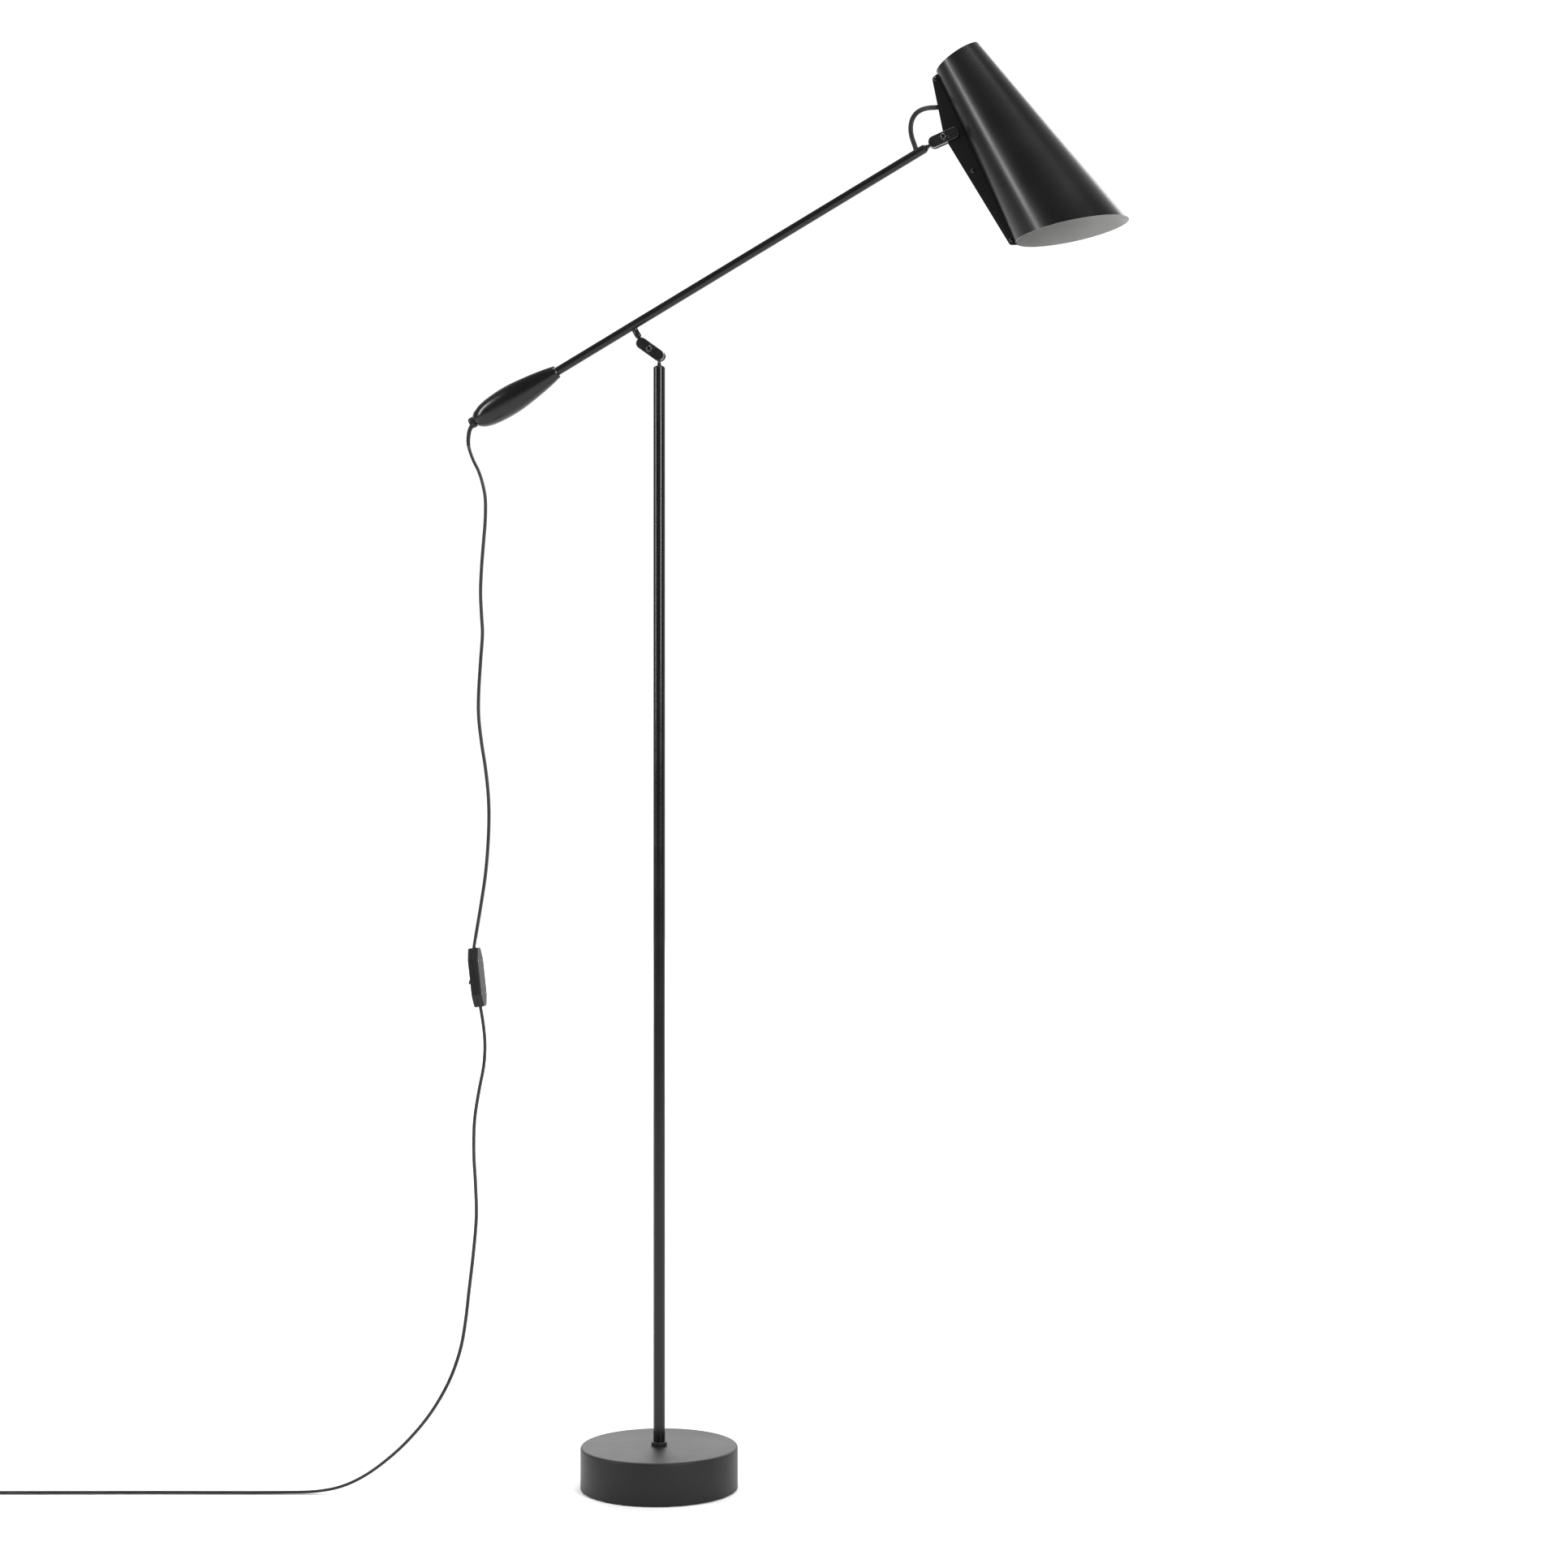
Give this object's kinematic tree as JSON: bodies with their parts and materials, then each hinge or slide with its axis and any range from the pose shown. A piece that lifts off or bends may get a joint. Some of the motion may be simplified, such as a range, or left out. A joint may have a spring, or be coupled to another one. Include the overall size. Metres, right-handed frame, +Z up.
{
  "type": "adjustable arm floor lamp",
  "caption": "Floor lamp with a heavy round base, slim post, tilting counterweighted arm on a double ball clamp and a finned cone shade; mains cord with hand switch and plug.",
  "frame": {"origin": "centre of the underside of the base, on the floor", "axes": "+Z up along the post, the arm in the XZ plane with the shade towards +X"},
  "size_m": [1.2423, 0.2445, 1.4535],
  "materials": {
    "base_paint": "satin charcoal powder coat",
    "tube_paint": "gloss black lacquer",
    "shade_lacquer": "gloss black lacquer outside, pale grey inside",
    "fitting_black": "smooth black electrophoretic coat",
    "cast_iron": "as cast",
    "felt": "pressed felt",
    "zinc_steel": "zinc plated",
    "moulded_plastic": "fine moulded satin",
    "cord_pvc": "smooth flexible sheath",
    "cord_rubber": "matt",
    "cap_metal": "rolled thread",
    "opal_glass": "opal",
    "pin_nickel": "nickel plated"
  },
  "bodies": {
    "root": {"base_cover": "base_paint", "base_weight": "cast_iron", "base_felt": "felt", "foot_rod": "zinc_steel", "foot_washer": "zinc_steel", "foot_nut": "zinc_steel", "post_collar": "base_paint", "post_foot_insert": "zinc_steel", "post_tube": "tube_paint", "post_cap": "tube_paint"},
    "post_stud": {"post_ball_stud": "fitting_black", "mains_cord_upper": "cord_pvc", "switch_front_shell": "moulded_plastic", "switch_back_shell": "moulded_plastic", "switch_screws": "zinc_steel", "mains_cord_lower": "cord_pvc", "mains_cord_coil": "cord_pvc", "coil_tie": "cord_rubber", "mains_cord_tail": "cord_pvc", "plug_body": "moulded_plastic", "plug_pins": "pin_nickel"},
    "rocker": {"switch_rocker": "moulded_plastic"},
    "lower_clamp": {"lower_clamp_front_plate": "fitting_black", "lower_clamp_rear_plate": "fitting_black", "lower_clamp_washer": "fitting_black"},
    "lower_screw": {"lower_clamp_screw": "fitting_black"},
    "arm_stud": {"arm_ball_stud": "fitting_black"},
    "arm": {"arm_boss": "fitting_black", "arm_insert": "zinc_steel", "arm_tube": "tube_paint", "arm_cord": "cord_pvc", "arm_tip_insert": "fitting_black", "counterweight": "tube_paint", "counterweight_grub_screw": "fitting_black", "cord_gland": "moulded_plastic", "head_cord": "cord_pvc"},
    "tip_stud": {"tip_ball_stud": "fitting_black"},
    "upper_clamp": {"upper_clamp_front_plate": "fitting_black", "upper_clamp_rear_plate": "fitting_black", "upper_clamp_washer": "fitting_black"},
    "upper_screw": {"upper_clamp_screw": "fitting_black"},
    "head": {"shade": "shade_lacquer", "fin_ball_plate": "fitting_black", "fin_screws": "fitting_black", "fin_nuts": "fitting_black", "fin_spacer": "zinc_steel", "lamp_bracket": "zinc_steel", "lamp_holder": "moulded_plastic", "holder_nut": "zinc_steel", "bulb_cap": "cap_metal", "bulb_glass": "opal_glass", "cord_grommet": "cord_rubber", "holder_wires": "cord_rubber"}
  },
  "joints": [
    {"name": "arm_turn", "type": "hinge", "parent": "root", "child": "post_stud", "pos_m": [0, 0, 1.14], "axis": [0, 0, 1], "continuous": true},
    {"name": "lower_clamp_tilt", "type": "hinge", "parent": "post_stud", "child": "lower_clamp", "pos_m": [0, 0, 1.1516], "axis": [0, -1, 0], "range_deg": [-25, 25], "deforming": ["mains_cord_upper"]},
    {"name": "arm_tilt", "type": "hinge", "parent": "lower_clamp", "child": "arm_stud", "pos_m": [-0.01739, 0, 1.16424], "axis": [0, -1, 0], "range_deg": [-35, 25], "deforming": ["mains_cord_upper"]},
    {"name": "arm_swing", "type": "hinge", "parent": "arm_stud", "child": "arm", "pos_m": [-0.02788, 0, 1.18301], "axis": [-0.4879, 0, 0.8729], "range_deg": [-30, 30], "deforming": ["mains_cord_upper"]},
    {"name": "head_twist", "type": "hinge", "parent": "arm", "child": "tip_stud", "pos_m": [0.28244, 0, 1.35644], "axis": [0.8729, 0, 0.4879], "range_deg": [-45, 45], "deforming": ["head_cord"]},
    {"name": "upper_clamp_tilt", "type": "hinge", "parent": "tip_stud", "child": "upper_clamp", "pos_m": [0.28244, 0, 1.35644], "axis": [0, -1, 0], "range_deg": [-35, 35], "deforming": ["head_cord"]},
    {"name": "shade_tilt", "type": "hinge", "parent": "upper_clamp", "child": "head", "pos_m": [0.3024, 0, 1.36442], "axis": [0, -1, 0], "range_deg": [-24, 24], "deforming": ["head_cord"]},
    {"name": "lower_screw_turn", "type": "hinge", "parent": "lower_clamp", "child": "lower_screw", "pos_m": [-0.0087, 0, 1.15792], "axis": [0, -1, 0], "range_deg": [0, 180]},
    {"name": "upper_screw_turn", "type": "hinge", "parent": "upper_clamp", "child": "upper_screw", "pos_m": [0.29242, 0, 1.36043], "axis": [0, -1, 0], "range_deg": [0, 180]},
    {"name": "rocker_press", "type": "hinge", "parent": "post_stud", "child": "rocker", "pos_m": [-0.19578, 0, 0.51663], "axis": [0, -1, 0], "range_deg": [0, 8]}
  ]
}
